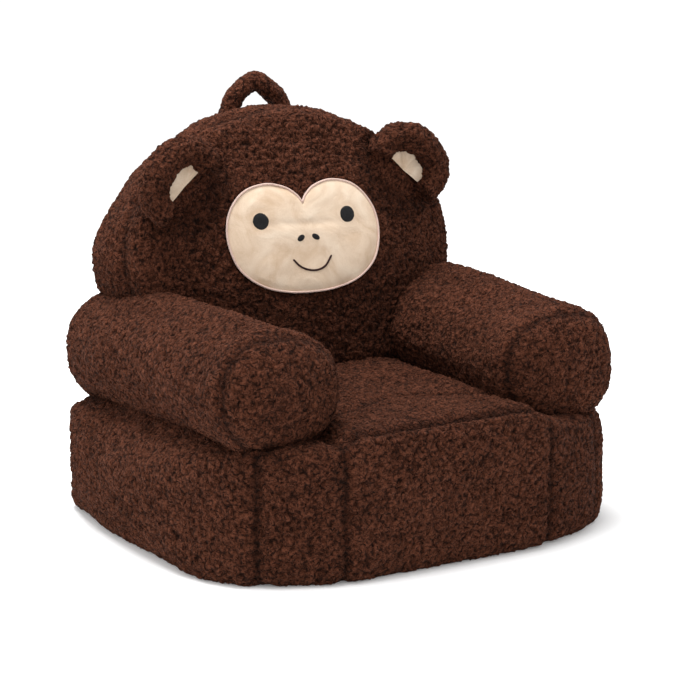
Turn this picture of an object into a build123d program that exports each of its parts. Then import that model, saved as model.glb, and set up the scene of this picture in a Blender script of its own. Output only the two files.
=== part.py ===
from build123d import *
import math
import os

# Toddler's armchair in the form of a monkey: sherpa covers over foam blocks.
# Millimetres. +Z is up, the front faces -Y, the origin is on the floor under the middle.

os.makedirs("parts", exist_ok=True)

# Driving dimensions
cover = 7.0              # thickness of a sherpa cover with its backing
seam_gap = 0.6           # gap left between two panels at a seam
seat_top = 160.0         # height of the seat
seat_half = 118.0        # half the width of the seat between the arms
shoulder_front = 149.0   # height of the seat block under the arms, at the front
shoulder_slope = 3.0     # degrees that it falls towards the rear
bottom_sheet = 2.5       # thickness of the underside fabric
front_y = -233.5
rear_y = 233.5
front_seam_x = 132.0     # front seam, at the floor
side_seam_x = 222.0      # side seam, at the floor
side_seam_y = -196.5
arm_width = 132.0
arm_height = 114.0
arm_corner = 50.0
arm_x_front = 186.0
arm_x_rear = 197.0
arm_y_front = -190.5
arm_y_rear = 215.5
arm_gap = 1.2
head_half = 212.0        # half the width of the back cushion
head_top = 463.0
neck_half = 118.5        # half its width between the arms
head_lean = 14.9         # degrees that its front leans back
head_front_y = 100.5     # front of the back cushion at the height below
head_front_z = 300.0
head_round = 26.0
head_rear_round = 42.0
head_bulge = 22.0        # how far the front stands out in the middle
head_ball = 880.0        # radius of that curve
face_z = 312.5           # middle of the face
face_thick = 2.4
ear_root = 96.0
ear_reach = 60.0
ear_thick = 30.0
ear_cover = 6.0
handle_span = 86.0
handle_rise = 46.0
handle_width = 34.0
handle_thick = 14.0
handle_y = 215.5
handle_z = 451.0
handle_axis_z = 455.0
ear_back = -12           # degrees that an ear bends back and forward
ear_forward = 30
handle_back = -60        # degrees that the handle falls back and forward
handle_forward = 20

slope = math.tan(math.radians(shoulder_slope))
big = 1200.0


def save(shape, name):
    solids = shape.solids()
    if len(solids) != 1:
        solids = sorted(solids, key=lambda s: s.volume, reverse=True)
        print(name, "solids", [round(s.volume) for s in solids])
    shape = solids[0]
    shape.label = name
    export_step(shape, "parts/" + name + ".step")
    print(name, round(shape.volume / 1000, 1))
    return shape


def box_between(x0, x1, y0, y1, z0, z1):
    middle = ((x0 + x1) / 2, (y0 + y1) / 2, (z0 + z1) / 2)
    return Pos(*middle) * Box(x1 - x0, y1 - y0, z1 - z0)


def prism(points, z0, z1):
    face = make_face(Polyline(*points, close=True))
    return Pos(0, 0, z0) * extrude(face, amount=z1 - z0, dir=(0, 0, 1))


def rounded_outline(points, radii, inset=0.0):
    face = make_face(Polyline(*points, close=True))
    for (px, py), radius in zip(points, radii):
        if radius <= 0:
            continue
        corner = min(face.vertices(), key=lambda v: math.hypot(v.X - px, v.Y - py))
        face = fillet(corner, radius)
    if inset:
        face = offset(face, amount=-inset)
    return face


def mirrored(points, values):
    left = [(-x, y) for x, y in reversed(points)]
    return points + left, values + list(reversed(values))


def try_fillet(shape, edges, radii):
    for radius in radii:
        try:
            result = fillet(edges, radius)
            if result.is_valid and len(result.solids()) == 1:
                return result
        except Exception:
            pass
    print("no fillet at", radii)
    return shape


# Seat block: the plan is a rounded horseshoe, flat at the front
plan_half = [(front_seam_x, front_y), (side_seam_x, side_seam_y), (260, -138.5), (271, 49.5),
             (267, 181.5), (204, rear_y)]
plan_round = [60, 60, 90, 300, 60, 50]


def seat_block(inset):
    points, radii = mirrored(plan_half, plan_round)
    plan = rounded_outline(points, radii, inset)
    tall = Pos(0, 0, inset) * extrude(plan, amount=big, dir=(0, 0, 1))
    top_z = shoulder_front - inset
    under = Pos(0, front_y, top_z) * Rot(-shoulder_slope, 0, 0)
    keep = under * box_between(-big, big, -big, big, -big, 0)
    shoulders = tall & keep
    middle = box_between(-seat_half + inset, seat_half - inset, -big, big, -big, seat_top - inset)
    block = shoulders + (tall & middle)
    return block


seat_outer = seat_block(0)
seat_outer = try_fillet(
    seat_outer, seat_outer.faces().sort_by(Axis.Z)[0].edges(), (16, 10, 6))
top_front = [e for e in seat_outer.edges() if e.center().Z > seat_top - 1 and e.center().Y < 0]
seat_outer = try_fillet(seat_outer, top_front, (12, 8, 5))
seat_inner = seat_block(cover)
seat_inner = try_fillet(
    seat_inner, seat_inner.faces().sort_by(Axis.Z)[0].edges(), (9, 5, 3))
seat_shell = seat_outer - seat_inner

# The underside is a thin sheet across the bottom of the shell
floor_zone = box_between(-big, big, -big, big, -1, bottom_sheet)
floor_inset = 14.0
floor_points, floor_radii = mirrored(plan_half, plan_round)
floor_plan = rounded_outline(floor_points, floor_radii, floor_inset)
floor_cut = extrude(floor_plan, amount=cover, dir=(0, 0, 1))
sheet_plan = offset(floor_plan, amount=-seam_gap)
bottom_panel = extrude(sheet_plan, amount=bottom_sheet, dir=(0, 0, 1))
walls = seat_shell - floor_cut
save(bottom_panel, "seat_bottom_panel")

cut = seam_gap / 2
seat_zone = box_between(-seat_half - 0.5, seat_half + 0.5, -big, big, 128, big)
seat_zone = seat_zone & box_between(-big, big, front_y + 14, rear_y - 14, 0, big)
seat_zone_clear = box_between(-seat_half - 0.5 - seam_gap, seat_half + 0.5 + seam_gap,
                              front_y + 14 - seam_gap, rear_y - 14 + seam_gap, 127, big)
save(walls & seat_zone, "seat_top_panel")
walls = walls - seat_zone_clear

for side, sx in (("left", -1), ("right", 1)):
    corner_zone = prism([(sx * (front_seam_x + cut), -big), (sx * 700, -big),
                         (sx * (700 - 0.4), side_seam_y - 200 - cut),
                         (sx * (side_seam_x - 60), side_seam_y + 25 - cut),
                         (sx * (front_seam_x + cut), side_seam_y + 25 - cut)], 0, big)
    side_zone = prism([(sx * 700, side_seam_y - 200 + cut), (sx * 700, big),
                       (sx * 700, rear_y - 40), (sx * 170.3, rear_y - 40),
                       (sx * 80, rear_y - 40), (sx * 80, side_seam_y + 25 + cut),
                       (sx * (side_seam_x - 60), side_seam_y + 25 + cut)], 0, big)
    save(walls & corner_zone, "seat_corner_panel_" + side)
    save(walls & side_zone, "seat_side_panel_" + side)
front_zone = box_between(-front_seam_x + cut, front_seam_x - cut, -big, front_y + 30, 0, big)
save(walls & front_zone, "seat_front_panel")
back_zone = box_between(-big, big, rear_y - 40 + seam_gap, big, 0, big)
save(walls & back_zone, "seat_back_panel")
save(seat_inner - floor_cut, "seat_foam")


# Arms: a rounded tube along a gently falling axis
def arm(sx, inset, end_round):
    section = RectangleRounded(arm_width - 2 * inset, arm_height - 2 * inset, arm_corner - inset)
    length = math.hypot(arm_y_rear - arm_y_front, arm_x_rear - arm_x_front)
    tube = extrude(section, amount=length - 2 * inset, dir=(0, 0, 1))
    ends = tube.edges().filter_by(lambda e: abs(e.center().Z) < 0.01
                                  or abs(e.center().Z - length + 2 * inset) < 0.01)
    tube = try_fillet(tube, ends, (end_round, end_round * 0.7))
    tube = Rot(-90, 0, 0) * (Pos(0, 0, inset) * tube)
    toe = math.degrees(math.atan2(arm_x_rear - arm_x_front, arm_y_rear - arm_y_front))
    drop = slope * (arm_y_front - front_y)
    height = shoulder_front - drop + arm_gap + arm_height / 2
    place = Pos(sx * arm_x_front, arm_y_front, height)
    return place * Rot(0, 0, -sx * toe) * Rot(-shoulder_slope, 0, 0) * tube


def along_arm(sx, y0, y1):
    zone = box_between(-big, big, y0, y1, -big, big)
    drop = slope * (arm_y_front - front_y)
    height = shoulder_front - drop + arm_gap + arm_height / 2
    return Pos(sx * arm_x_front, arm_y_front, height) * Rot(-shoulder_slope, 0, 0) * zone


cap_depth = 12.0
arm_solids = []
for side, sx in (("left", -1), ("right", 1)):
    outer = arm(sx, 0, 20)
    inner = arm(sx, cover, 13)
    shell = outer - inner
    length = arm_y_rear - arm_y_front
    arm_solids.append(outer)
    save(inner, "arm_foam_" + side)
    save(shell & along_arm(sx, -big, cap_depth - cut), "arm_front_cap_" + side)
    save(shell & along_arm(sx, cap_depth + cut, length - cap_depth - cut), "arm_cover_" + side)
    save(shell & along_arm(sx, length - cap_depth + cut, big), "arm_rear_cap_" + side)


# Back cushion: an apple-shaped profile that narrows between the arms, with a leaning front
def head_profile(inset):
    half = [(neck_half, seat_top + 0.8), (neck_half, 251.5), (206, 251.5),
            (head_half + 2, 300), (head_half - 6, 346), (172, 399), (106, 443), (0, head_top)]
    radii = [14, 48, 26, 40, 60, 80, 90, 160]
    right = half[:-1]
    left = [(-x, z) for x, z in reversed(right)]
    points = right + [half[-1]] + left
    all_radii = radii[:-1] + [radii[-1]] + list(reversed(radii[:-1]))
    return rounded_outline(points, all_radii, inset)


front_place = Pos(0, head_front_y, head_front_z) * Rot(-head_lean, 0, 0)
ball_middle = (front_place * Pos(0, head_ball - head_bulge, 0)).position


def head_ball_at(inset):
    return Pos(ball_middle) * Sphere(head_ball - inset)


def head_block(inset, end_round):
    face = head_profile(inset)
    bar = Rot(90, 0, 0) * extrude(face, amount=-600, dir=(0, 0, 1))
    ahead = box_between(-big, big, -big, rear_y - inset, -big, big)
    block = (bar & head_ball_at(inset)) & ahead
    rear_round = end_round + head_rear_round - head_round
    rear = [e for e in block.edges() if on_rear(e, inset)]
    block = try_fillet(block, rear, (rear_round, rear_round * 0.85, rear_round * 0.7, 12))
    front = [e for e in block.edges() if on_ball(e, inset)]
    return try_fillet(block, front, (end_round, end_round * 0.8, end_round * 0.6, 8, 5))


def on_rear(edge, inset):
    return all(abs(edge.position_at(t).Y - rear_y + inset) < 0.05 for t in (0.1, 0.5, 0.9))


def on_ball(edge, inset):
    reach = [(edge.position_at(t) - ball_middle).length for t in (0.1, 0.5, 0.9)]
    return all(abs(r - head_ball + inset) < 0.05 for r in reach)


head_outer = head_block(0, head_round)
head_inner = head_block(cover, head_round - cover)
head_shell = head_outer - head_inner
save(head_inner, "head_foam")
save(head_shell - head_ball_at(head_round - 4 - cut), "head_front_panel")
save((head_shell & head_ball_at(head_round - 4 + cut)) & box_between(-big, big, -big, rear_y - cap_depth - cut, -big, big),
     "head_gusset")
save(head_shell & box_between(-big, big, rear_y - cap_depth + cut, big, -big, big),
     "head_rear_panel")


# Face: appliqué pieces that follow the curve of the front
def on_front(sketch, start, thick):
    bar = Rot(90, 0, 0) * extrude(sketch, amount=120, dir=(0, 0, 1))
    place = front_place * Pos(0, 40, (face_z - head_front_z) / math.cos(math.radians(head_lean)))
    bar = place * bar
    layer = head_ball_at(-start - thick) - head_ball_at(-start)
    return bar & layer


def heart(grow):
    right = [(0, 42), (6, 51), (20, 61), (45, 66), (76, 57), (97, 31), (101, -2), (88, -35),
             (54, -57)]
    right = [(x * (1 + grow / math.hypot(x, z)), z * (1 + grow / math.hypot(x, z)))
             for x, z in right]
    left = [(-x, z) for x, z in reversed(right[1:])]
    bottom = (0, -64 - grow)
    edge = Spline(*right, bottom, *left, right[0])
    return make_face(edge)


face_lift = 0.4
edge_width = 2.4
save(on_front(heart(-0.4), face_lift, face_thick), "face_plush")
save(on_front(heart(edge_width) - heart(0), face_lift, face_thick + 0.6), "face_edge_stitch")
detail = face_lift + face_thick + 0.2
for side, sx in (("left", -1), ("right", 1)):
    save(on_front(Pos(sx * 58.5, 23) * Circle(9.2), detail, 1.2), "eye_" + side)
    save(on_front(Pos(sx * 10, -1) * Rot(0, 0, -sx * 28) * Ellipse(5.0, 3.2), detail, 1.2),
         "nostril_" + side)
smile = Spline((-27, -26), (-13, -39), (0, -42), (13, -39), (27, -26))
save(on_front(trace(smile, 2.2), detail, 1.2), "mouth_stitch")


# Ears: a filled cup on the shoulder of the back cushion, open to the front
ear_angle = 42.0
ear_x = 148.0
ear_z = 390.0
ear_y = 115.5


def ear_place(sx):
    return Pos(sx * ear_x, ear_y, ear_z) * Rot(-8, 0, 0) * Rot(0, sx * ear_angle, 0)


def ear_blank(inset, back, front, end_round):
    plan = Ellipse(ear_root / 2 - inset, ear_reach - inset)
    plan = plan & (Pos(0, 100) * Rectangle(300, 208 - 2 * inset))
    body = Rot(90, 0, 0) * extrude(plan, amount=front + back, dir=(0, 0, 1))
    body = Pos(0, back, 0) * body
    rims = [e for e in body.edges() if abs(e.center().Y - back) < 0.01
            or abs(e.center().Y + front) < 0.01]
    return try_fillet(body, rims, (end_round, end_round * 0.7, end_round * 0.5, 2))


head_clear = head_block(-0.7, head_round)


def clear_of_head(shape, axis, near, turns):
    """Cuts away whatever would meet the head anywhere in the piece's travel."""
    shape = shape - near
    for turn in turns:
        shape = shape - near.rotate(axis, -turn)
    return shape


def steps(low, high, count):
    return [low + (high - low) * k / count for k in range(count + 1)]


half_thick = ear_thick / 2
cup_depth = 9.0
for side, sx in (("left", -1), ("right", 1)):
    place = ear_place(sx)
    outer = ear_blank(0, half_thick, half_thick, 10)
    fill = ear_blank(ear_cover, half_thick - ear_cover, half_thick - cup_depth - 4, 4)
    cup_plan = Ellipse(ear_root / 2 - 18, ear_reach - 21) & (Pos(0, 105) * Rectangle(300, 202))
    cup = Rot(90, 0, 0) * extrude(cup_plan, amount=cup_depth + 20, dir=(0, 0, 1))
    cup = Pos(0, -(half_thick - cup_depth), 0) * cup
    lining_plan = Ellipse(ear_root / 2 - 18.5, ear_reach - 21.5)
    lining_plan = lining_plan & (Pos(0, 105) * Rectangle(300, 201))
    lining = Rot(90, 0, 0) * extrude(lining_plan, amount=2.2, dir=(0, 0, 1))
    lining = Pos(0, -(half_thick - cup_depth) - 0.4, 0) * lining
    shell = (outer - fill) - cup
    root = place * Pos(0, 0, 0)
    root_line = (place * Pos(1, 0, 0)).position - root.position
    axis = Axis(root.position, root_line)
    near = head_clear & box_between(min(sx * 60, sx * 250), max(sx * 60, sx * 250),
                                    ear_y - 120, rear_y, 290, 480)
    turns = steps(ear_back, ear_forward, 6)
    save(clear_of_head(place * shell, axis, near, turns), "ear_shell_" + side)
    save(clear_of_head(place * lining, axis, near, turns), "ear_lining_" + side)
    save(clear_of_head(place * fill, axis, near, turns), "ear_fill_" + side)
    print("root line", side, [round(v, 4) for v in root_line])

# Carry handle: a flat loop standing out of the top of the rear seam
handle_leg = 30.0
upper_half = Pos(0, 100) * Rectangle(300, 200)
loop_outer = Ellipse(handle_span / 2, handle_rise + 6) & upper_half
loop_outer += Pos(0, -handle_leg / 2) * Rectangle(handle_span, handle_leg)
loop_inner = Ellipse(handle_span / 2 - handle_thick, handle_rise + 6 - handle_thick) & upper_half
loop_inner += Pos(0, -handle_leg / 2) * Rectangle(handle_span - 2 * handle_thick, handle_leg)
loop = loop_outer - loop_inner
strap = Rot(90, 0, 0) * extrude(loop, amount=handle_width, dir=(0, 0, 1))
strap = Pos(0, handle_y + handle_width / 2, handle_z) * strap
edges = strap.edges().filter_by(lambda e: e.length > 60)
strap = try_fillet(strap, edges, (2.5, 1.5))
handle_axis = Axis((0, handle_y, handle_axis_z), (1, 0, 0))
near = head_clear & box_between(-60, 60, rear_y - 110, rear_y + 1, 390, 480)
strap = clear_of_head(strap, handle_axis, near, steps(handle_back, handle_forward, 14))
save(strap, "carry_handle")
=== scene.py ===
"""Toddler's monkey armchair: curly plush over foam, a cream face, ears and a carry loop."""
import math

import bpy
import numpy as np
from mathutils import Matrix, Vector
from mathutils.bvhtree import BVHTree


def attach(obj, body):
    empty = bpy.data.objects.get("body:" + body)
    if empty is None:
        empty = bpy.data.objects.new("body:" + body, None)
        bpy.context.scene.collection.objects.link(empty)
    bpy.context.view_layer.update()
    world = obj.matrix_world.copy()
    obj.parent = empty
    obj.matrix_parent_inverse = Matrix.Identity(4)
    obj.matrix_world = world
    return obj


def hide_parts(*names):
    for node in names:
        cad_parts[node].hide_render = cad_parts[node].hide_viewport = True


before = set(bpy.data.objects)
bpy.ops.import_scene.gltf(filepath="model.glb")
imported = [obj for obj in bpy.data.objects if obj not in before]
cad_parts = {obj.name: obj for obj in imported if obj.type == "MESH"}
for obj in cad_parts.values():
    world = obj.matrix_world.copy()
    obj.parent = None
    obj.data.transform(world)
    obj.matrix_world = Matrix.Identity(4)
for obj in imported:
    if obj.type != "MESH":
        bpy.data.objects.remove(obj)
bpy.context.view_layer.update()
scene = bpy.context.scene
mm = 0.001

# How the cover is made, in millimetres
voxel = 7.0
seam_closing = 1.2
pile_depth = 5.2
curl_size = 5.2
shadow_width = 4.0
filling_inset = 12.0
ear_filling_inset = 20.0

# Places that the panels' seams are measured from, in millimetres
front_seam_x = 132.0
side_seam = ((162.0, -171.5), (700.0, -396.5))
back_seam_y = 193.5
seat_edge_y = -219.5
seat_half = 118.0
ball_middle = np.array([0.0, 929.65, 79.4])
ball_seam = 880.0 - 22.0
head_rear_seam = 221.5
arm_front = np.array([186.0, -190.5, 204.95])
arm_rear_x = 197.0
arm_length = 406.0
arm_slope = math.radians(3.0)
arm_cap = 12.0
front_panel, corner_panel, side_panel, back_panel, top_panel = range(5)


# ---------------------------------------------------------------- meshes as arrays

def read_mesh(me):
    verts = np.zeros(len(me.vertices) * 3, np.float32)
    me.vertices.foreach_get("co", verts)
    return verts.reshape(-1, 3).astype(float) * 1000


def read_quads(me):
    loops = np.zeros(len(me.loops), np.int32)
    me.loops.foreach_get("vertex_index", loops)
    return loops.reshape(-1, 4)


def vertex_normals(me):
    values = np.zeros(len(me.vertices) * 3, np.float32)
    me.vertex_normals.foreach_get("vector", values)
    return values.reshape(-1, 3).astype(float)


def build_mesh(name, verts, faces, layers=None):
    """A mesh from millimetre points and faces of one size, with point attributes."""
    faces = np.asarray(faces, np.int32)
    sides = faces.shape[1]
    used, index = np.unique(faces, return_inverse=True)
    faces = index.reshape(-1, sides)
    points = np.asarray(verts)[used]
    me = bpy.data.meshes.new(name)
    me.vertices.add(len(points))
    me.vertices.foreach_set("co", (points * mm).astype(np.float32).ravel())
    me.loops.add(faces.size)
    me.loops.foreach_set("vertex_index", faces.astype(np.int32).ravel())
    me.polygons.add(len(faces))
    me.polygons.foreach_set("loop_start", np.arange(0, faces.size, sides, dtype=np.int32))
    me.update(calc_edges=True)
    me.polygons.foreach_set("use_smooth", np.ones(len(faces), bool))
    for key, values in (layers or {}).items():
        layer = me.attributes.new(key, "FLOAT", "POINT")
        layer.data.foreach_set("value", np.asarray(values)[used].astype(np.float32))
    me.validate()
    return me


def add_object(name, me, material=None):
    ob = bpy.data.objects.new(name, me)
    scene.collection.objects.link(ob)
    if material is not None:
        me.materials.append(material)
    return ob


def evaluated_copy(ob):
    """The object's mesh with its modifiers applied."""
    graph = bpy.context.evaluated_depsgraph_get()
    return bpy.data.meshes.new_from_object(ob.evaluated_get(graph), depsgraph=graph)


def joined_nodes(name, nodes):
    """One mesh made of copies of the CAD nodes, each a little larger so that seams close."""
    verts, faces, start = [], [], 0
    for node in nodes:
        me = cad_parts[node].data
        me.calc_loop_triangles()
        tris = np.zeros(len(me.loop_triangles) * 3, np.int32)
        me.loop_triangles.foreach_get("vertices", tris)
        points = read_mesh(me)
        low, high = points.min(0), points.max(0)
        middle = (low + high) / 2
        points = middle + (points - middle) * (1 + seam_closing / (high - low))
        verts.append(points)
        faces.append(tris.reshape(-1, 3) + start)
        start += len(points)
    return build_mesh(name, np.vstack(verts), np.vstack(faces))


# ---------------------------------------------------------------- easing and noise

def step(values, start, end):
    """From 0 at start to 1 at end, smoothly."""
    t = np.clip((values - start) / (end - start), 0, 1)
    return t * t * (3 - 2 * t)


def close_to(distance, width):
    """1 at no distance, falling away over about a width."""
    return np.exp(-(distance / width) ** 2)


def hashed(cells, seed):
    """A number from 0 to 1 for each whole-numbered cell."""
    cells = cells.astype(np.int64)
    value = cells[..., 0] * 73856093 ^ cells[..., 1] * 19349663 ^ cells[..., 2] * 83492791
    value = (value ^ (seed * 2654435761)) & 0xFFFFFFFF
    value = ((value ^ (value >> 15)) * 2246822519) & 0xFFFFFFFF
    value = ((value ^ (value >> 13)) * 3266489917) & 0xFFFFFFFF
    return ((value ^ (value >> 16)) & 0xFFFFFF) / float(0xFFFFFF)


def smooth_noise(points, size, seed=0):
    """Value noise from -1 to 1 with features about size millimetres apart."""
    p = points / size
    base = np.floor(p)
    f = p - base
    f = f * f * (3 - 2 * f)
    total = np.zeros(len(p))
    for dx in (0, 1):
        for dy in (0, 1):
            for dz in (0, 1):
                weight = ((f[:, 0] if dx else 1 - f[:, 0]) * (f[:, 1] if dy else 1 - f[:, 1])
                          * (f[:, 2] if dz else 1 - f[:, 2]))
                total += weight * hashed(base + np.array([dx, dy, dz]), seed)
    return total * 2 - 1


def cell_noise(points, size, seed=0):
    """Distance to the nearest scattered point, in cell sizes."""
    p = points / size
    base = np.floor(p)
    best = np.full(len(p), 9.0)
    for dx in (-1, 0, 1):
        for dy in (-1, 0, 1):
            for dz in (-1, 0, 1):
                cell = base + np.array([dx, dy, dz])
                spot = np.stack([hashed(cell, seed + k) for k in (1, 2, 3)], 1)
                gap = np.sum((cell + spot - p) ** 2, 1)
                best = np.minimum(best, gap)
    return np.sqrt(best)


def curls(points, seed):
    """Curly pile, from 0 in a crevice to 1 on top of a curl."""
    warp = np.stack([smooth_noise(points, 9.0, seed + 11 + k) for k in range(3)], 1)
    bent = points + warp * 3.0
    tuft = np.clip(1.0 - cell_noise(bent, curl_size, seed) ** 2 * 1.15, 0, 1)
    ridge = 1 - np.abs(smooth_noise(bent + 31.7, 4.6, seed + 5)) * 1.7
    return np.clip(0.60 * tuft + 0.40 * np.clip(ridge, 0, 1), 0, 1)


def pile_growth(points, normals, seed, depth=pile_depth):
    """Moves a fine skin out into curls. Returns the new points and the curl height."""
    patch = 0.85 + 0.35 * smooth_noise(points, 40.0, seed + 40)
    height = curls(points, seed)
    lean = np.stack([smooth_noise(points, 7.0, seed + 60 + k) for k in range(3)], 1)
    move = normals * ((height - 0.6) * depth * patch)[:, None]
    move += lean * (height * 1.3)[:, None]
    return points + move, height


# ---------------------------------------------------------------- materials

def new_material(name):
    """A material with its node tree and its shader."""
    mat = bpy.data.materials.new(name)
    mat.use_nodes = True
    tree = mat.node_tree
    shader = tree.nodes["Principled BSDF"]
    return mat, tree, shader


def add_node(tree, kind, **inputs):
    """A node with some of its inputs set, underscores standing for spaces."""
    node = tree.nodes.new(kind)
    for key, value in inputs.items():
        node.inputs[key.replace("_", " ")].default_value = value
    return node


def ramp(tree, source, stops):
    """A colour ramp over a value, from (place, colour) stops."""
    node = tree.nodes.new("ShaderNodeValToRGB")
    elements = node.color_ramp.elements
    while len(elements) < len(stops):
        elements.new(0.5)
    for element, (place, colour) in zip(elements, stops):
        element.position = place
        element.color = (*colour, 1)
    tree.links.new(source, node.inputs["Fac"])
    return node.outputs["Color"]


def multiplied(tree, first, second):
    """The product of two colours."""
    node = tree.nodes.new("ShaderNodeMix")
    node.data_type = "RGBA"
    node.blend_type = "MULTIPLY"
    node.inputs[0].default_value = 1.0
    tree.links.new(first, node.inputs[6])
    tree.links.new(second, node.inputs[7])
    return node.outputs[2]


def surface_place(tree):
    """Places on the piece itself, in metres."""
    return tree.nodes.new("ShaderNodeTexCoord").outputs["Object"]


def bump(tree, height, distance, strength, under=None):
    """A bump over a height in metres, laid on another bump if one is given."""
    node = add_node(tree, "ShaderNodeBump", Strength=strength, Distance=distance)
    tree.links.new(height, node.inputs["Height"])
    if under is not None:
        tree.links.new(under, node.inputs["Normal"])
    return node.outputs["Normal"]


def sherpa_material():
    """Curly brown plush: painted shade in the crevices between small curls, and patches where the
    pile turns.
    """
    mat, tree, shader = new_material("sherpa")
    place = surface_place(tree)
    curl = tree.nodes.new("ShaderNodeAttribute")
    curl.attribute_name = "curl"
    # Painted shade: the colour darkens from the tops of the curls down into the crevices between
    # them
    colour = ramp(tree, curl.outputs["Fac"], [
        (0.0, (0.012, 0.0030, 0.0013)), (0.30, (0.047, 0.0141, 0.0067)),
        (0.65, (0.088, 0.0282, 0.0147)), (1.0, (0.116, 0.0390, 0.0210))])
    bend = add_node(tree, "ShaderNodeTexNoise", Scale=150.0, Detail=2.0)
    tree.links.new(place, bend.inputs["Vector"])
    centred = tree.nodes.new("ShaderNodeVectorMath")
    centred.operation = "SUBTRACT"
    centred.inputs[1].default_value = (0.5, 0.5, 0.5)
    tree.links.new(bend.outputs["Color"], centred.inputs[0])
    bent = tree.nodes.new("ShaderNodeVectorMath")
    bent.operation = "MULTIPLY_ADD"
    bent.inputs[1].default_value = (0.009, 0.009, 0.009)
    tree.links.new(centred.outputs[0], bent.inputs[0])
    tree.links.new(place, bent.inputs[2])
    heights = []
    # Painted shade in the gaps between small curls, whose middles are a little lighter
    for size, dark in ((270.0, 0.26), (560.0, 0.52)):
        cells = add_node(tree, "ShaderNodeTexVoronoi", Scale=size)
        tree.links.new(bent.outputs[0], cells.inputs["Vector"])
        gap = ramp(tree, cells.outputs["Distance"], [
            (0.20, (1.12, 1.12, 1.12)), (0.52, (1.0, 1.0, 1.0)),
            (0.78, (dark, dark * 0.90, dark * 0.82))])
        colour = multiplied(tree, colour, gap)
        flip = tree.nodes.new("ShaderNodeMath")
        flip.operation = "SUBTRACT"
        flip.inputs[0].default_value = 1.0
        tree.links.new(cells.outputs["Distance"], flip.inputs[1])
        heights.append(flip.outputs[0])
    patches = add_node(tree, "ShaderNodeTexNoise", Scale=17.0, Detail=3.0, Roughness=0.55)
    tree.links.new(place, patches.inputs["Vector"])
    shade = ramp(tree, patches.outputs["Fac"], [
        (0.30, (0.87, 0.86, 0.85)), (0.72, (1.10, 1.11, 1.12))])
    colour = multiplied(tree, colour, shade)
    tree.links.new(colour, shader.inputs["Base Color"])
    coarse = bump(tree, heights[0], 0.0042, 0.9)
    tree.links.new(bump(tree, heights[1], 0.0016, 0.8, coarse), shader.inputs["Normal"])
    shader.inputs["Roughness"].default_value = 0.95
    shader.inputs["Specular IOR Level"].default_value = 0.08
    shader.inputs["Sheen Weight"].default_value = 0.05
    shader.inputs["Sheen Roughness"].default_value = 0.5
    shader.inputs["Sheen Tint"].default_value = (0.60, 0.32, 0.22, 1)
    return mat


def cream_material():
    """Short-nap cream plush: brushed patches and a fine grain."""
    mat, tree, shader = new_material("cream_plush")
    place = surface_place(tree)
    brushed = add_node(tree, "ShaderNodeTexNoise", Scale=26.0, Detail=5.0, Roughness=0.6,
                       Distortion=0.9)
    tree.links.new(place, brushed.inputs["Vector"])
    colour = ramp(tree, brushed.outputs["Fac"], [
        (0.28, (0.550, 0.400, 0.275)), (0.50, (0.660, 0.515, 0.385)),
        (0.74, (0.745, 0.620, 0.490))])
    nap = add_node(tree, "ShaderNodeTexNoise", Scale=1500.0, Detail=2.0, Roughness=0.7)
    tree.links.new(place, nap.inputs["Vector"])
    grain = ramp(tree, nap.outputs["Fac"], [
        (0.30, (0.90, 0.88, 0.86)), (0.70, (1.05, 1.05, 1.05))])
    colour = multiplied(tree, colour, grain)
    tree.links.new(colour, shader.inputs["Base Color"])
    soft = bump(tree, brushed.outputs["Fac"], 0.0030, 0.5)
    tree.links.new(bump(tree, nap.outputs["Fac"], 0.0004, 0.5, soft), shader.inputs["Normal"])
    shader.inputs["Roughness"].default_value = 0.85
    shader.inputs["Specular IOR Level"].default_value = 0.15
    shader.inputs["Sheen Weight"].default_value = 0.25
    shader.inputs["Sheen Roughness"].default_value = 0.4
    shader.inputs["Sheen Tint"].default_value = (1.0, 0.93, 0.86, 1)
    return mat


def thread_material(name, dark, light, rough=0.5):
    """Satin stitch: fine parallel threads, with a slight change of tone between them."""
    mat, tree, shader = new_material(name)
    place = surface_place(tree)
    threads = tree.nodes.new("ShaderNodeTexWave")
    threads.inputs["Scale"].default_value = 1400.0
    threads.inputs["Distortion"].default_value = 1.2
    threads.inputs["Detail"].default_value = 2.0
    threads.inputs["Detail Scale"].default_value = 1.4
    tree.links.new(place, threads.inputs["Vector"])
    colour = ramp(tree, threads.outputs["Fac"], [(0.2, dark), (0.8, light)])
    tree.links.new(colour, shader.inputs["Base Color"])
    tree.links.new(bump(tree, threads.outputs["Fac"], 0.0004, 0.6), shader.inputs["Normal"])
    shader.inputs["Roughness"].default_value = rough
    shader.inputs["Specular IOR Level"].default_value = 0.25
    return mat


def foam_material(name, dark, light, scale):
    """Open cells of foam or fibre, scale of them to the metre."""
    mat, tree, shader = new_material(name)
    place = surface_place(tree)
    cells = add_node(tree, "ShaderNodeTexVoronoi", Scale=scale)
    tree.links.new(place, cells.inputs["Vector"])
    colour = ramp(tree, cells.outputs["Distance"], [(0.1, dark), (0.7, light)])
    tree.links.new(colour, shader.inputs["Base Color"])
    tree.links.new(bump(tree, cells.outputs["Distance"], 0.001, 0.6), shader.inputs["Normal"])
    shader.inputs["Roughness"].default_value = 0.95
    return mat


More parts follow.
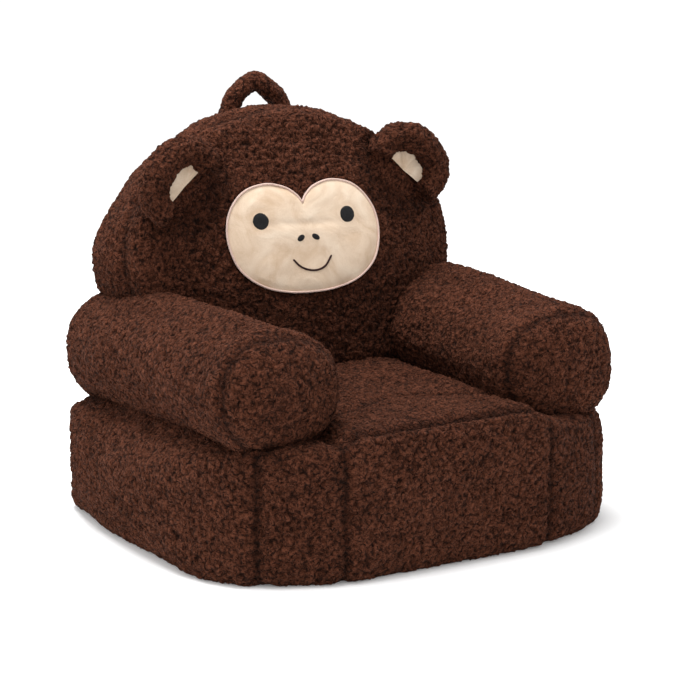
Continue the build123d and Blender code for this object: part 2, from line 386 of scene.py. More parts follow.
def weave_material():
    """The underside: a plain dark woven cloth."""
    mat, tree, shader = new_material("underside_fabric")
    place = surface_place(tree)
    heights = []
    for direction in ("X", "Y"):
        wave = tree.nodes.new("ShaderNodeTexWave")
        wave.bands_direction = direction
        wave.inputs["Scale"].default_value = 260.0
        tree.links.new(place, wave.inputs["Vector"])
        heights.append(wave.outputs["Fac"])
    both = tree.nodes.new("ShaderNodeMath")
    both.operation = "MULTIPLY"
    tree.links.new(heights[0], both.inputs[0])
    tree.links.new(heights[1], both.inputs[1])
    colour = ramp(tree, both.outputs[0], [
        (0.0, (0.018, 0.010, 0.008)), (1.0, (0.060, 0.036, 0.028))])
    tree.links.new(colour, shader.inputs["Base Color"])
    tree.links.new(bump(tree, both.outputs[0], 0.0006, 0.8), shader.inputs["Normal"])
    shader.inputs["Roughness"].default_value = 0.9
    return mat


sherpa = sherpa_material()
cream = cream_material()
edge_thread = thread_material("edge_thread", (0.66, 0.42, 0.34), (0.88, 0.70, 0.62))
black_thread = thread_material("black_thread", (0.004, 0.004, 0.005), (0.012, 0.012, 0.013),
                               rough=0.55)
mouth_thread = thread_material("mouth_thread", (0.014, 0.003, 0.003), (0.045, 0.010, 0.009))
foam = foam_material("foam", (0.42, 0.38, 0.26), (0.78, 0.74, 0.58), 500.0)
fibre_fill = foam_material("fibre_fill", (0.66, 0.66, 0.64), (0.88, 0.88, 0.86), 220.0)
underside = weave_material()
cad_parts["seat_bottom_panel"].data.materials.clear()
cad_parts["seat_bottom_panel"].data.materials.append(underside)


# ---------------------------------------------------------------- padded skins

def remeshed(name, nodes, rounds=8):
    """The outside of some CAD nodes as one even, slightly relaxed quad mesh."""
    ob = add_object(name, joined_nodes(name, nodes))
    change = ob.modifiers.new("remesh", "REMESH")
    change.mode = "VOXEL"
    change.voxel_size = voxel * mm
    relax = ob.modifiers.new("relax", "SMOOTH")
    relax.factor = 0.5
    relax.iterations = rounds
    me = evaluated_copy(ob)
    bpy.data.objects.remove(ob)
    return keep_largest(me)


def keep_largest(me):
    """Drops any inner shells, keeping the one with the largest box."""
    verts, quads = read_mesh(me), read_quads(me)
    label = np.arange(len(verts))
    while True:
        low = label[quads].min(1)
        new = label.copy()
        for k in range(4):
            np.minimum.at(new, quads[:, k], low)
        new = new[new]
        if np.array_equal(new, label):
            break
        label = new
    best, size = None, -1
    for value in np.unique(label):
        points = verts[label == value]
        extent = np.prod(points.max(0) - points.min(0) + 1)
        if extent > size:
            best, size = value, extent
    return verts, quads[label[quads[:, 0]] == best]


def swell(skins, frames=20):
    """Puffs every skin at once with Cloth pressure, held at its seams.

    Gives each skin's mesh, its points at rest and its swollen points, by name.
    """
    made = []
    for skin in skins:
        me = build_mesh(skin["name"] + "_cloth", skin["verts"], skin["quads"])
        ob = add_object(skin["name"] + "_cloth", me)
        group = ob.vertex_groups.new(name="held")
        hold = skin["hold"](read_mesh(me))
        for index in np.nonzero(hold)[0]:
            group.add([int(index)], float(hold[index]), "REPLACE")
        cloth = ob.modifiers.new("cloth", "CLOTH")
        cloth.settings.quality = 5
        cloth.settings.use_pressure = True
        cloth.settings.uniform_pressure_force = 4.0
        cloth.settings.vertex_group_mass = "held"
        cloth.settings.effector_weights.gravity = 0.0
        cloth.settings.tension_stiffness = 12
        cloth.settings.compression_stiffness = 12
        cloth.settings.bending_stiffness = 0.6
        cloth.collision_settings.use_collision = False
        cloth.point_cache.frame_end = frames + 1
        made.append((skin, ob))
    for number in range(1, frames + 1):
        scene.frame_set(number)
    result = {}
    for skin, ob in made:
        points, normals = read_mesh(ob.data), vertex_normals(ob.data)
        # Only how the swelling is spread comes from the cloth: puff says how much it is
        rise = np.sum((read_mesh(evaluated_copy(ob)) - points) * normals, axis=1)
        rise = np.clip(rise / max(np.percentile(rise, 95), 1e-3), -0.1, 1.1)
        rise = rise * skin["puff"] * skin["where"](points) + skin["fuller"]
        moved = points + normals * rise[:, None] + skin["shaped"](points, normals)
        result[skin["name"]] = (ob.data, points, moved)
        ob.modifiers.clear()
    scene.frame_set(1)
    for _, ob in made:
        bpy.data.objects.remove(ob)
    return result


def refined(me, points, levels):
    """The same mesh subdivided, with the given points."""
    work = me.copy()
    work.vertices.foreach_set("co", (points * mm).astype(np.float32).ravel())
    work.update()
    ob = add_object("refine", work)
    subdivide = ob.modifiers.new("subdivide", "SUBSURF")
    subdivide.levels = levels
    subdivide.render_levels = levels
    out = evaluated_copy(ob)
    bpy.data.objects.remove(ob)
    return out


# Seat block
def side_line(points, sign):
    """How far in front of the seam between the corner and side panels each point is."""
    (x0, y0), (x1, y1) = side_seam
    dx, dy = x1 - x0, y1 - y0
    length = math.hypot(dx, dy)
    return ((sign * points[:, 0] - x0) * dy - (points[:, 1] - y0) * dx) / length


def seat_panels(points):
    """Each point's panel, its distance to the nearest seam and whether it is on the right."""
    x, y, z = points.T
    right = x > 0
    side = np.where(right, side_line(points, 1), side_line(points, -1))
    wide = np.abs(x) - front_seam_x
    on_top = ((z > 146) & (np.abs(x) < seat_half + 1) & (y > seat_edge_y)
              & (y < back_seam_y + 26))
    label = np.full(len(points), side_panel)
    label[(side > 0) & (wide >= 0) & (y < -120)] = corner_panel
    label[(y < -160) & (wide < 0)] = front_panel
    label[y > back_seam_y] = back_panel
    label[on_top] = top_panel
    gaps = np.abs(y - back_seam_y)
    gaps = np.where(y < -165, np.minimum(gaps, np.abs(wide)), gaps)
    gaps = np.where(np.abs(side) < 40, np.minimum(gaps, np.abs(side)), gaps)
    top = np.hypot(np.maximum(np.abs(y - seat_edge_y) - 0.5, 0), np.minimum(z - 158.5, 0))
    gaps = np.where(np.abs(x) < seat_half + 4, np.minimum(gaps, top), gaps)
    return label, gaps, right


def seat_hold(points):
    """The seat's skin is held at its seams and on the floor."""
    hold = np.where(seat_panels(points)[1] < 3.5, 1.0, 0.0)
    hold[points[:, 2] < 5] = 1.0
    return hold


# Back cushion
def ball_reach(points):
    """How far in front of the seam round the front panel each point is."""
    return np.linalg.norm(points - ball_middle, axis=1) - ball_seam


def head_panels(points):
    """Each point's panel (0 front, 1 gusset, 2 rear) and its distance to the nearest seam."""
    reach = ball_reach(points)
    rear = points[:, 1] - head_rear_seam
    label = np.where(reach > 0, 0, np.where(rear > 0, 2, 1))
    gaps = np.minimum(np.abs(reach), np.abs(rear))
    return label, gaps


def head_hold(points):
    """The back cushion is held at its front seam and where it stands on the seat."""
    hold = np.where(np.abs(ball_reach(points)) < 4, 1.0, 0.0)
    hold[points[:, 2] < 172] = 1.0
    return hold


# Arms
def arm_axis(points, sign):
    """How far along the arm each point is."""
    toe = math.atan2(arm_rear_x - arm_front[0], arm_length)
    along = np.array([sign * math.sin(toe) * math.cos(arm_slope),
                      math.cos(toe) * math.cos(arm_slope), -math.sin(arm_slope)])
    return (points - arm_front * np.array([sign, 1, 1])) @ along


def arm_panels(points, sign):
    """Each point's panel (0 front cap, 1 cover, 2 rear cap) and its distance to a seam."""
    s = arm_axis(points, sign)
    label = np.where(s < arm_cap, 0, np.where(s > arm_length - arm_cap, 2, 1))
    gaps = np.minimum(np.abs(s - arm_cap), np.abs(s - arm_length + arm_cap))
    return label, gaps


def arm_hold(points, sign):
    """Each arm is held at its rear seam, where it meets the back."""
    gap = np.abs(arm_axis(points, sign) - arm_length + arm_cap)
    return np.where(gap < 4, 1.0, 0.0)


def seat_swell(points):
    """The seat swells most at its sides and rear, and least on its front and top."""
    top = 1 / (1 + np.exp(-(points[:, 2] - 140) / 6.0)) * (np.abs(points[:, 0]) < seat_half)
    front = 1 / (1 + np.exp((points[:, 1] + 205) / 8.0))
    rear = step(points[:, 1], 165, 215)
    return 1 - 0.72 * np.maximum(np.maximum(top, front), 0.95 * rear)


def seat_shape(points, normals):
    """The base's sides belly out, its shoulders droop, and its right front corner is pressed."""
    x, y, z = points.T
    flat = np.hypot(normals[:, 0], normals[:, 1])
    belly = np.clip(1 - ((z - 64) / 82.0) ** 4, 0, 1)
    amount = 8.5 * belly * flat * (0.35 + 0.65 * step(y, -215, -120))
    amount = amount * (1 - 0.45 * step(y, 165, 215))
    amount = amount - 0.55 * amount * close_to(seat_panels(points)[1], 9.0)
    out = normals * amount[:, None]
    rim = step(np.abs(x), 205, 262) * step(z, 110, 146)
    out[:, 2] -= 5.0 * rim
    out[:, 2] -= 11.0 * step(x, 128, 160) * step(z, 90, 140) * step(y, -70, -170)
    return out


def head_shape(points, normals):
    """Seen from behind, the cushion spreads towards the arms and narrows at its shoulders."""
    x, y, z = points.T
    rear = step(y, 95, 175)
    out = np.zeros_like(points)
    spread = 17.0 * step(z, 385, 295) - 8.0 * step(z, 380, 425) * step(np.abs(x), 60, 120)
    out[:, 0] = np.tanh(x / 120.0) * spread * rear * step(z, 235, 258)
    sag = step(np.abs(x), 125, 165) * step(z, 330, 262)
    out[:, 2] = -11.0 * sag + 4.0 * step(z, 425, 455) * rear
    return out


def arm_shape(points, normals, sign):
    """Each arm is fullest towards the seat and at its rear, and the right one's front sags."""
    s = arm_axis(points, sign)
    inner = np.clip(-sign * normals[:, 0], 0, 1)
    out = np.zeros_like(points)
    out[:, 0] = -sign * inner * (10.0 + 4.0 * step(s, 200, 20) + 12.0 * step(s, 170, 330))
    out[:, 2] = np.clip(normals[:, 2], 0, 1) * (2.0 + 6.0 * step(s, 120, 380))
    out[:, 2] -= np.clip(-normals[:, 2], 0, 1) * (8.0 + 2.0 * sign) * step(s, 140, 20)
    out[:, 2] -= (6.0 + 6.0 * sign) * step(s, 250, 30)
    return out


def head_swell(points):
    """The back cushion swells round its gusset and hardly at all on its front."""
    return 1 - 0.97 / (1 + np.exp(-(ball_reach(points) - 1.0) / 5.0))


seat_nodes = ["seat_foam", "seat_front_panel", "seat_top_panel", "seat_back_panel",
              "seat_bottom_panel"]
seat_nodes += [n + s for n in ("seat_corner_panel", "seat_side_panel") for s in ("_left", "_right")]
head_nodes = ["head_foam", "head_front_panel", "head_gusset", "head_rear_panel"]
arm_parts = ["arm_foam", "arm_cover", "arm_front_cap", "arm_rear_cap"]

skins = []
verts, quads = remeshed("seat", seat_nodes)
skins.append({"name": "seat", "verts": verts, "quads": quads, "hold": seat_hold, "puff": 15.0,
              "fuller": 2.2, "where": seat_swell, "shaped": seat_shape})
verts, quads = remeshed("head", head_nodes)
skins.append({"name": "head", "verts": verts, "quads": quads, "hold": head_hold, "puff": 15.0,
              "fuller": 1.5, "where": head_swell, "shaped": head_shape})
for side, sign in (("left", -1), ("right", 1)):
    verts, quads = remeshed("arm", [p + "_" + side for p in arm_parts])
    skins.append({"name": "arm_" + side, "verts": verts, "quads": quads, "puff": 9.0,
                  "fuller": 4.5, "where": lambda points: np.ones(len(points)),
                  "shaped": lambda points, normals, sign=sign: arm_shape(points, normals, sign),
                  "hold": lambda points, sign=sign: arm_hold(points, sign)})
swollen = swell(skins)


def fine_skin(name):
    """Rest points, swollen points, normals and quads of a skin, finely divided."""
    me, rest, moved = swollen[name]
    fine = refined(me, moved, 2)
    return (read_mesh(refined(me, rest, 2)), read_mesh(fine), vertex_normals(fine),
            read_quads(fine))


def puckered(points, normals, rest, gaps, seed, depth, width):
    """Draws the skin in along its seams, with short gathers across them and soft dents."""
    gather = smooth_noise(rest, 17.0, seed + 80) * 1.3 * close_to(gaps, 26.0)
    dents = smooth_noise(rest, 70.0, seed + 81) * 2.0
    move = -depth * close_to(gaps, width) + gather * (1 - close_to(gaps, 5.0)) + dents
    return points + normals * move[:, None]


def shaded(curl, gaps, amount):
    """The curls, with painted shade along the seams."""
    return curl * (1 - amount * close_to(gaps, shadow_width))


def lay_panels(points, quads, curl, label, names):
    """Splits a skin into its panels, each its own piece that replaces its CAD node."""
    face_label = label[quads].max(axis=1)
    for number, node in names.items():
        me = build_mesh(node + "_plush", points, quads[face_label == number], {"curl": curl})
        ob = add_object(node + "_plush", me, sherpa)
        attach(ob, "chair")
        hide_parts(node)


# Seat
rest, points, normals, quads = fine_skin("seat")
label, gaps, right = seat_panels(rest)
points = puckered(points, normals, rest, gaps, 1, 3.6, 8.0)
front_edge = (close_to(rest[:, 1] - seat_edge_y, 6.0) * step(rest[:, 2], 138, 150)
              * step(np.abs(rest[:, 0]), seat_half + 12, seat_half + 2))
points -= normals * (6.0 * front_edge)[:, None]
points, curl = pile_growth(points, normals, 1)
points[:, 2] = np.maximum(points[:, 2], 0.4)
# Painted shade along the seams and in the groove along the seat's front edge
curl = shaded(curl, gaps, 0.75) * (1 - 0.6 * front_edge)
# Painted shade: the corner panels and the top are made darker
curl[(label == corner_panel) | (label == top_panel)] *= 0.86
sided = (label == corner_panel) | (label == side_panel)
numbers = label * 2 + (right & sided)
# The skin also runs under the seat, inside the thickness of the bottom panel
lay_panels(points, quads, curl, numbers, {
    front_panel * 2: "seat_front_panel",
    corner_panel * 2: "seat_corner_panel_left", corner_panel * 2 + 1: "seat_corner_panel_right",
    side_panel * 2: "seat_side_panel_left", side_panel * 2 + 1: "seat_side_panel_right",
    back_panel * 2: "seat_back_panel", top_panel * 2: "seat_top_panel"})

# Arms
for side, sign in (("left", -1), ("right", 1)):
    rest, points, normals, quads = fine_skin("arm_" + side)
    label, gaps = arm_panels(rest, sign)
    points = puckered(points, normals, rest, gaps, 5 + sign, 4.6, 7.0)
    points, curl = pile_growth(points, normals, 5 + sign)
    lay_panels(points, quads, shaded(curl, gaps, 0.75), label, {
        0: "arm_front_cap_" + side, 1: "arm_cover_" + side, 2: "arm_rear_cap_" + side})


# ---------------------------------------------------------------- back cushion and face

ear_spot = np.array([151.0, 109.0, 388.0])
face_middle = (-4.5, 317.5)
heart_half = [(0, 42), (6, 51), (20, 61), (45, 66), (76, 57), (97, 31), (101, -2), (88, -35),
              (54, -57), (0, -64)]


def smooth_line(knots, count):
    """Points along a smooth line through the knots."""
    knots = np.array(knots, float)
    steps = np.concatenate([[0], np.cumsum(np.linalg.norm(np.diff(knots, axis=0), axis=1))])
    slopes = np.zeros_like(knots)
    slopes[1:-1] = (knots[2:] - knots[:-2]) / (steps[2:] - steps[:-2])[:, None]
    slopes[0] = (knots[1] - knots[0]) / (steps[1] - steps[0])
    slopes[-1] = (knots[-1] - knots[-2]) / (steps[-1] - steps[-2])
    t = np.linspace(0, steps[-1], count)
    i = np.clip(np.searchsorted(steps, t, "right") - 1, 0, len(knots) - 2)
    span = (steps[i + 1] - steps[i])[:, None]
    u = (t[:, None] - steps[i][:, None]) / span
    first = 2 * u ** 3 - 3 * u ** 2 + 1
    second = u ** 3 - 2 * u ** 2 + u
    third = -2 * u ** 3 + 3 * u ** 2
    fourth = u ** 3 - u ** 2
    return (first * knots[i] + second * span * slopes[i] + third * knots[i + 1]
            + fourth * span * slopes[i + 1])


def heart_outline(count=180):
    """The face's outline, anticlockwise seen from the front, from its notch."""
    mirrored = [(-x, z) for x, z in reversed(heart_half[1:-1])]
    return smooth_line(heart_half + mirrored + heart_half[:1], count + 1)[:-1]


outline = heart_outline()
lean_up = math.cos(math.radians(14.9))


def off_ball(points):
    """Unit directions straight off the ball that the front lies on."""
    away = points - ball_middle
    return away / np.linalg.norm(away, axis=-1, keepdims=True)


def in_heart(points):
    """How far inside the face's outline points of the front are, roughly, in millimetres."""
    x = points[:, 0] - face_middle[0]
    z = (points[:, 2] - face_middle[1]) / lean_up
    angle = np.arctan2(z, x)
    edge_angle = np.arctan2(outline[:, 1], outline[:, 0])
    order = np.argsort(edge_angle)
    radius = np.hypot(*outline.T)
    edge = np.interp(angle, edge_angle[order], radius[order], period=2 * math.pi)
    return edge - np.hypot(x, z)


rest, head_points, normals, quads = fine_skin("head")
label, gaps = head_panels(rest)
head_points = puckered(head_points, normals, rest, gaps, 9, 4.0, 8.0)
smooth_head = BVHTree.FromPolygons([Vector(p) for p in head_points], quads.tolist())
depth_in = np.where((label == 0) & (rest[:, 1] < 169.5), in_heart(head_points), -99.0)
under_face = 1 / (1 + np.exp(-(depth_in - 1.0) / 1.2))
points, curl = pile_growth(head_points, normals, 9)
points = points * (1 - under_face)[:, None] + (head_points - normals * 3.0) * under_face[:, None]
curl = shaded(curl, gaps, 0.65)
# Painted shade on the lower part of the head, between the arms
curl *= 1 - 0.34 * step(rest[:, 2], 305, 245)
# Painted light on the top of the head
curl *= 1 + 0.16 * step(rest[:, 2], 390, 450)
# Painted shade in a ring on the head round each ear
for sign in (-1, 1):
    root = np.array([sign * ear_spot[0] + face_middle[0], ear_spot[1] - 13.0, ear_spot[2] + 4.0])
    ear_gap = np.linalg.norm(points - root, axis=1) - 60.0
    curl *= 1 - 0.5 * close_to(np.maximum(ear_gap, 0), 8.0)
# Painted shade along the outside of the face's edge
curl *= 1 - 0.75 * close_to(np.minimum(depth_in - 1.0, 0), 3.5) * (depth_in > -20)
lay_panels(points, quads, curl, label, {
    0: "head_front_panel", 1: "head_gusset", 2: "head_rear_panel"})


def on_front(x, z):
    """The point of the smooth front at x and z in the face's own plane."""
    start = Vector((x + face_middle[0], -200.0, face_middle[1] + z * lean_up))
    return np.array(smooth_head.ray_cast(start, Vector((0, 1, 0)))[0])


def front_points(flat, lifts):
    """Places flat points on the front and lifts each straight off the ball."""
    hits = np.array([on_front(x, z) for x, z in flat])
    return hits + off_ball(hits) * lifts[:, None]


def ring_quads(start, rings, count):
    """Faces between rings of count points each, the first of them at start."""
    quads = []
    for r in range(rings - 1):
        a = start + r * count
        b = a + count
        for k in range(count):
            n = (k + 1) % count
            quads.append([a + k, b + k, b + n, a + n])
    return quads


def fan(count):
    """Faces from point 0 to the ring of count points after it."""
    return [[0, 1 + k, 1 + (k + 1) % count] for k in range(count)]


def stitched_on(name, points, faces, material, node, slot_name):
    """A piece on the face made of millimetre points and mixed faces."""
    me = bpy.data.meshes.new(name)
    me.from_pydata((points * mm).tolist(), [], faces)
    me.polygons.foreach_set("use_smooth", np.ones(len(me.polygons), bool))
    me.update()
    ob = add_object(name, me, material)
    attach(ob, "chair")
    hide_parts(node)
    return ob


def face_patch(rings=70):
    """The cushioned face: rings from its middle out, and a turned edge."""
    middle = outline.mean(0)
    count = len(outline)
    flat, lifts = [middle[None]], [face_lift(middle[None], np.zeros(1))]
    for r in np.linspace(0, 1, rings + 1)[1:]:
        flat.append(middle + (outline - middle) * r)
        lifts.append(face_lift(flat[-1], np.full(count, r)))
    flat.append(outline)
    lifts.append(np.full(count, -1.5))
    points = front_points(np.vstack(flat), np.concatenate(lifts))
    return points, fan(count) + ring_quads(1, rings + 1, count)


def face_lift(ring, r):
    """How far the face stands off the front: a low cushion with waves and one crease."""
    flat = np.column_stack([ring, np.zeros(len(ring))])
    wave = smooth_noise(flat, 30.0, 5) * 0.55 + smooth_noise(flat, 9.0, 6) * 0.16
    crease = -1.0 * close_to(ring[:, 1] - 17.0 + 0.04 * ring[:, 0], 5.0)
    crease *= close_to(ring[:, 0], 70.0)
    return 3.0 * (1 - r ** 14) + 1.2 + wave + crease


face = stitched_on("face_plush_soft", *face_patch(), cream, "face_plush", "cream_plush")
face_tree = BVHTree.FromObject(face, bpy.context.evaluated_depsgraph_get())


def on_face(x, z, lift):
    """The point lift above the face at x and z, and the direction straight off it."""
    start = Vector(((face_middle[0] + x) * mm, -0.25, (face_middle[1] + z * lean_up) * mm))
    hit = np.array(face_tree.ray_cast(start, Vector((0, 1, 0)))[0]) * 1000
    return hit + off_ball(hit) * lift, off_ball(hit)


def thread_tube(name, line, normals_at, width, height, material, node, closed=False):
    """A low satin-stitched ridge along a line, with the stitches' ripple."""
    line = np.array(line)
    count = len(line)
    if closed:
        ahead, behind = np.roll(line, -1, 0), np.roll(line, 1, 0)
    else:
        ahead = np.vstack([line[1:], line[-1:] * 2 - line[-2:-1]])
        behind = np.vstack([line[:1] * 2 - line[1:2], line[:-1]])
    along = ahead - behind
    along /= np.linalg.norm(along, axis=1)[:, None]
    across = np.cross(along, normals_at)
    across /= np.linalg.norm(across, axis=1)[:, None]
    profile = [(math.cos(a), math.sin(a)) for a in np.linspace(0, 2 * math.pi, 11)[:-1]]
    ripple = 1 + 0.10 * np.cos(np.arange(count) * math.pi)
    ends = np.ones(count)
    if not closed:
        ends = np.clip(np.minimum(np.arange(count), np.arange(count)[::-1]) / 3.0 + 0.35, 0, 1)
    verts = []
    for c, s in profile:
        verts.append(line + across * (c * width / 2 * ends)[:, None]
                     + normals_at * (s * height * ripple * ends)[:, None])
    verts = np.array(verts).transpose(1, 0, 2).reshape(-1, 3)
    n = len(profile)
    faces = []
    last = count if closed else count - 1
    for k in range(last):
        m = (k + 1) % count
        for j in range(n):
            i = (j + 1) % n
            faces.append([k * n + j, m * n + j, m * n + i, k * n + i])
    me = build_mesh(name, verts, faces)
    ob = add_object(name, me, material)
    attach(ob, "chair")
    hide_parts(node)
    return ob


edge_line = smooth_line(np.vstack([outline, outline[:1]]), 721)[:-1]
rim = front_points(edge_line, np.full(len(edge_line), 2.4))
thread_tube("face_edge_satin", rim, off_ball(rim), 2.6, 1.3, edge_thread, "face_edge_stitch",
            closed=True)


def stitched_disc(name, middle, half_x, half_z, tilt, node):
    """A satin-stitched spot: rows of thread over a slight dome."""
    count, rings = 48, 9
    verts = [on_face(*middle, 1.05)[0]]
    for r in range(1, rings + 1):
        f = r / rings
        for k in range(count):
            a = 2 * math.pi * k / count
            u, v = half_x * f * math.cos(a), half_z * f * math.sin(a)
            x = middle[0] + u * math.cos(tilt) - v * math.sin(tilt)
            z = middle[1] + u * math.sin(tilt) + v * math.cos(tilt)
            rise = 0.95 * (1 - f ** 6) - 0.15 + 0.07 * math.sin(x * 9.0)
            verts.append(on_face(x, z, rise)[0])
    stitched_on(name, np.array(verts), fan(count) + ring_quads(1, rings, count), black_thread,
                node, "black_thread")


for side, sign in (("left", -1), ("right", 1)):
    stitched_disc("eye_satin_" + side, (sign * 58.5, 24.5), 10.4, 10.2, 0.0, "eye_" + side)
    stitched_disc("nostril_satin_" + side, (sign * 10, 1.5), 5.6, 3.5,
                  math.radians(-sign * 28), "nostril_" + side)
smile = smooth_line([(-24, -23), (-14, -33), (2, -38), (17, -34.5), (28, -22)], 120)
placed = [on_face(x, z, 0.25) for x, z in smile]
thread_tube("mouth_satin", [p for p, _ in placed], np.array([n for _, n in placed]), 2.5, 0.9,
            mouth_thread, "mouth_stitch")


# ---------------------------------------------------------------- ears

ear_turn = math.radians(42.0)
ear_pitch = math.radians(-8.0)


def ear_place(points, sign):
    """From the ear's own frame, root along x, outward z, front -y, into the chair's."""
    x, y, z = points[:, 0] * sign, points[:, 1], points[:, 2]
    x, z = x * math.cos(ear_turn) + z * math.sin(ear_turn), (
        -x * math.sin(ear_turn) + z * math.cos(ear_turn))
    y, z = (y * math.cos(ear_pitch) - z * math.sin(ear_pitch),
            y * math.sin(ear_pitch) + z * math.cos(ear_pitch))
    return np.column_stack([sign * (x + ear_spot[0]) + face_middle[0], y + ear_spot[1],
                            z + ear_spot[2]])


def closed_form(rows):
    """A closed triangle mesh through rings of points, capped at both ends."""
    rows = np.array(rows)
    count, ring = rows.shape[:2]
    verts = np.vstack([rows.reshape(-1, 3), rows[0].mean(0), rows[-1].mean(0)])
    faces = []
    for i in range(count - 1):
        for j in range(ring):
            k = (j + 1) % ring
            a, b = i * ring + j, i * ring + k
            faces += [[a, b, b + ring], [a, b + ring, a + ring]]
    first, last = count * ring, count * ring + 1
    for j in range(ring):
        k = (j + 1) % ring
        faces += [[first, k, j], [last, (count - 1) * ring + j, (count - 1) * ring + k]]
    return verts, np.array(faces)


def ear_rim():
    """The fat rolled rim: a bent tube that starts and ends inside the head."""
    rows = []
    for t in np.linspace(-0.30, math.pi + 0.30, 90):
        out = np.array([math.cos(t), 0.0, math.sin(t)])
        up = max(math.sin(t), 0.0)
        middle = np.array([40.5 * math.cos(t), -8.0 - 7.0 * up, 34.5 * math.sin(t) + 1.0])
        wide, deep = 15.5 + 3.0 * up, 17.0 + 1.5 * up
        rows.append([middle + out * wide * math.cos(a) + np.array([0, deep * math.sin(a), 0])
                     for a in np.linspace(0, 2 * math.pi, 48, endpoint=False)])
    return closed_form(rows)


def ear_back():
    """The padded back of the cup."""
    rows = []
    for u in np.linspace(-0.499 * math.pi, 0.499 * math.pi, 40):
        rows.append([np.array([44.0 * math.cos(u) * math.cos(v),
                               7.0 + 9.5 * math.cos(u) * math.sin(v),
                               2.0 + 41.0 * math.sin(u)])
                     for v in np.linspace(0, 2 * math.pi, 60, endpoint=False)])
    return closed_form(rows)


for side, sign in (("left", -1), ("right", 1)):
    body = "ear_" + side
    rim_points, rim_faces = ear_rim()
    back_points, back_faces = ear_back()
    ob = add_object("ear", build_mesh("ear", np.vstack([rim_points, back_points]),
                                      np.vstack([rim_faces, back_faces + len(rim_points)])))
    change = ob.modifiers.new("remesh", "REMESH")
    change.mode = "VOXEL"
    change.voxel_size = 0.0016
    relax = ob.modifiers.new("relax", "SMOOTH")
    relax.factor = 0.5
    relax.iterations = 10
    solid = evaluated_copy(ob)
    bpy.data.objects.remove(ob)
    points, normals, quads = read_mesh(solid), vertex_normals(solid), read_quads(solid)
    points = points + normals * (smooth_noise(points, 26.0, 70 + sign) * 1.6)[:, None]
    points, curl = pile_growth(points, normals, 15 + sign)
    ear = build_mesh("ear_plush_" + side, ear_place(points, sign), quads, {"curl": curl})
    if sign < 0:
        ear.flip_normals()
    ob = add_object("ear_plush_" + side, ear, sherpa)
    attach(ob, body)
    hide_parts("ear_shell_" + side)
    # The cream lining lies in the cup, with soft folds running out from its root
    u = np.linspace(-1, 1, 90)
    v = np.linspace(0, 1, 60)
    verts = []
    for j in v:
        for i in u:
            angle = math.pi / 2 * (1 - i)
            fold = (1.9 * math.sin(angle * 6.0 + 0.6) + 1.0 * math.sin(angle * 11.0 + sign)) * j
            verts.append([33.0 * j * math.cos(angle), -10.0 + 4.0 * (1 - j) ** 2 + fold,
                          31.0 * j * math.sin(angle) - 4.0])
    faces = []
    for j in range(len(v) - 1):
        for i in range(len(u) - 1):
            k = j * len(u) + i
            faces.append([k, k + 1, k + 1 + len(u), k + len(u)])
    lining = build_mesh("ear_lining_soft_" + side, ear_place(np.array(verts), sign), faces)
    ob = add_object("ear_lining_soft_" + side, lining, cream)
    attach(ob, body)
    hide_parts("ear_lining_" + side)


# ---------------------------------------------------------------- carry handle

handle_y = 215.5


def handle_strap():
    """A soft strap bent into a loop that peaks at the top and twists a little in its legs."""
    path = smooth_line([(-39, 430), (-38, 452), (-31, 470), (-17, 485), (-4, 492), (9, 488),
                        (24, 476), (35, 461), (40, 446), (42, 430)], 150)
    verts, quads = [], []
    ring = 70
    for k, (x, z) in enumerate(path):
        f = k / (len(path) - 1)
        ahead = path[min(k + 1, len(path) - 1)] - path[max(k - 1, 0)]
        ahead /= np.linalg.norm(ahead)
        along = np.array([ahead[0], 0, ahead[1]])
        twist = math.radians(38) * math.sin((f - 0.5) * 2 * math.pi)
        wide = np.array([0, 1.0, 0])
        thick = np.cross(along, wide)
        wide, thick = (wide * math.cos(twist) + thick * math.sin(twist),
                       thick * math.cos(twist) - wide * math.sin(twist))
        half = 16.0 - 2.0 * math.sin(math.pi * f)
        for j in range(ring):
            a = 2 * math.pi * j / ring
            c, s = math.cos(a), math.sin(a)
            c = math.copysign(abs(c) ** 0.8, c)
            verts.append(np.array([x, handle_y, z]) + wide * half * c + thick * 11.5 * s)
    for k in range(len(path) - 1):
        for j in range(ring):
            i = (j + 1) % ring
            quads.append([k * ring + j, k * ring + i, (k + 1) * ring + i, (k + 1) * ring + j])
    return np.array(verts), np.array(quads)


points, quads = handle_strap()
me = build_mesh("handle", points, quads)
normals = vertex_normals(me)
middle = points.reshape(-1, 70, 3).mean(1).repeat(70, 0)
if np.mean(np.sum(normals * (points - middle), 1)) < 0:
    quads = quads[:, ::-1]
    normals = -normals
points = points + normals * (smooth_noise(points, 14.0, 33) * 1.0)[:, None]
points, curl = pile_growth(points, normals, 34, 3.0)
handle = add_object("carry_handle_plush",
                    build_mesh("carry_handle_plush", points, quads, {"curl": curl}), sherpa)
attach(handle, "handle")
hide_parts("carry_handle")


# ---------------------------------------------------------------- hidden fillings

def filling(node, body, material, inset):
    """The foam or fibre inside, drawn in a little so that it never shows."""
    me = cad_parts[node].data.copy()
    me.materials.clear()
    points = read_mesh(me)
    low, high = points.min(0), points.max(0)
    middle = (low + high) / 2
    inset = np.minimum(inset, 0.33 * (high - low))
    points = middle + (points - middle) * (1 - 2 * inset / (high - low))
    me.vertices.foreach_set("co", (points * mm).astype(np.float32).ravel())
    me.update()
    ob = add_object(node + "_block", me, material)
    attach(ob, body)
    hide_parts(node)


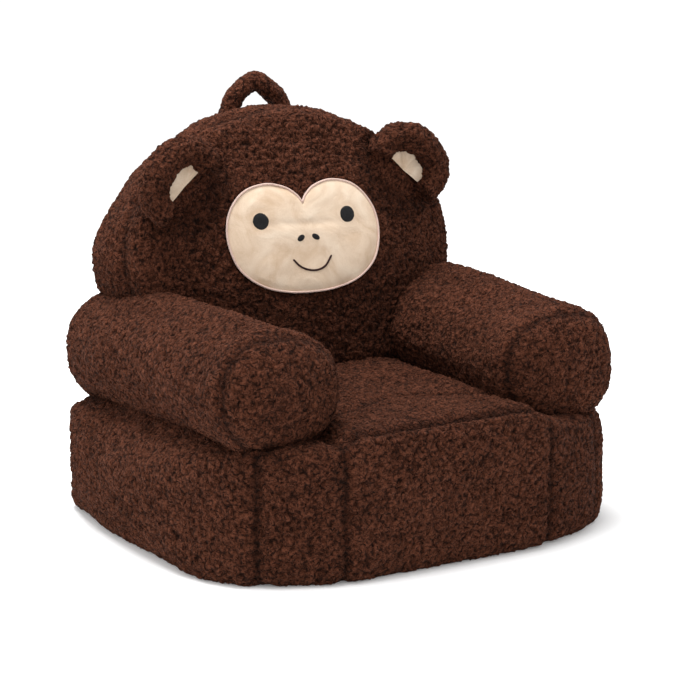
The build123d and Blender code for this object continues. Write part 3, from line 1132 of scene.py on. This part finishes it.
for node in ("seat_foam", "head_foam", "arm_foam_left", "arm_foam_right"):
    filling(node, "chair", foam, filling_inset)
for side in ("left", "right"):
    filling("ear_fill_" + side, "ear_" + side, fibre_fill, ear_filling_inset)


# ---------------------------------------------------------------- floor, light and camera

bpy.ops.mesh.primitive_plane_add(size=80.0, location=(0, 0, 0))
floor = bpy.context.object
floor.name = "floor"
floor_mat, floor_tree, floor_shader = new_material("studio_floor")
floor_shader.inputs["Base Color"].default_value = (0.93, 0.93, 0.93, 1)
floor_shader.inputs["Roughness"].default_value = 0.9
floor_shader.inputs["Emission Color"].default_value = (1, 1, 1, 1)
floor_shader.inputs["Emission Strength"].default_value = 0.10
floor_shader.inputs["Specular IOR Level"].default_value = 0.0
floor.data.materials.append(floor_mat)

world = bpy.data.worlds.new("studio")
scene.world = world
world.use_nodes = True
world.node_tree.nodes["Background"].inputs["Color"].default_value = (1.0, 1.0, 1.0, 1)
world.node_tree.nodes["Background"].inputs["Strength"].default_value = 1.0
scene.view_settings.view_transform = "Standard"


def area_light(name, place, size, power):
    """A round light that faces the middle of the chair."""
    data = bpy.data.lights.new(name, "AREA")
    data.shape = "DISK"
    data.size = size
    data.energy = power
    ob = bpy.data.objects.new(name, data)
    scene.collection.objects.link(ob)
    ob.location = place
    ob.rotation_euler = (Vector((0, 0, 0.25)) - Vector(place)).to_track_quat("-Z", "Y").to_euler()


area_light("overhead", (-0.3, 0.25, 2.4), 1.6, 74.0)
area_light("left_side", (-2.6, 0.2, 1.1), 1.4, 9.0)

azimuth, elevation, distance = math.radians(-30.0), math.radians(12.16), 2.4
target = Vector((-0.0201, -0.0205, 0.2171))
back = Vector((math.sin(azimuth) * math.cos(elevation),
               -math.cos(azimuth) * math.cos(elevation), math.sin(elevation)))
camera_data = bpy.data.cameras.new("camera")
camera_data.lens = 111.15
camera_data.sensor_width = 36.0
camera_data.clip_start = 0.05
camera_data.clip_end = 60.0
camera = bpy.data.objects.new("camera", camera_data)
scene.collection.objects.link(camera)
camera.location = target + back * distance
camera.rotation_euler = (-back).to_track_quat("-Z", "Y").to_euler()
scene.camera = camera
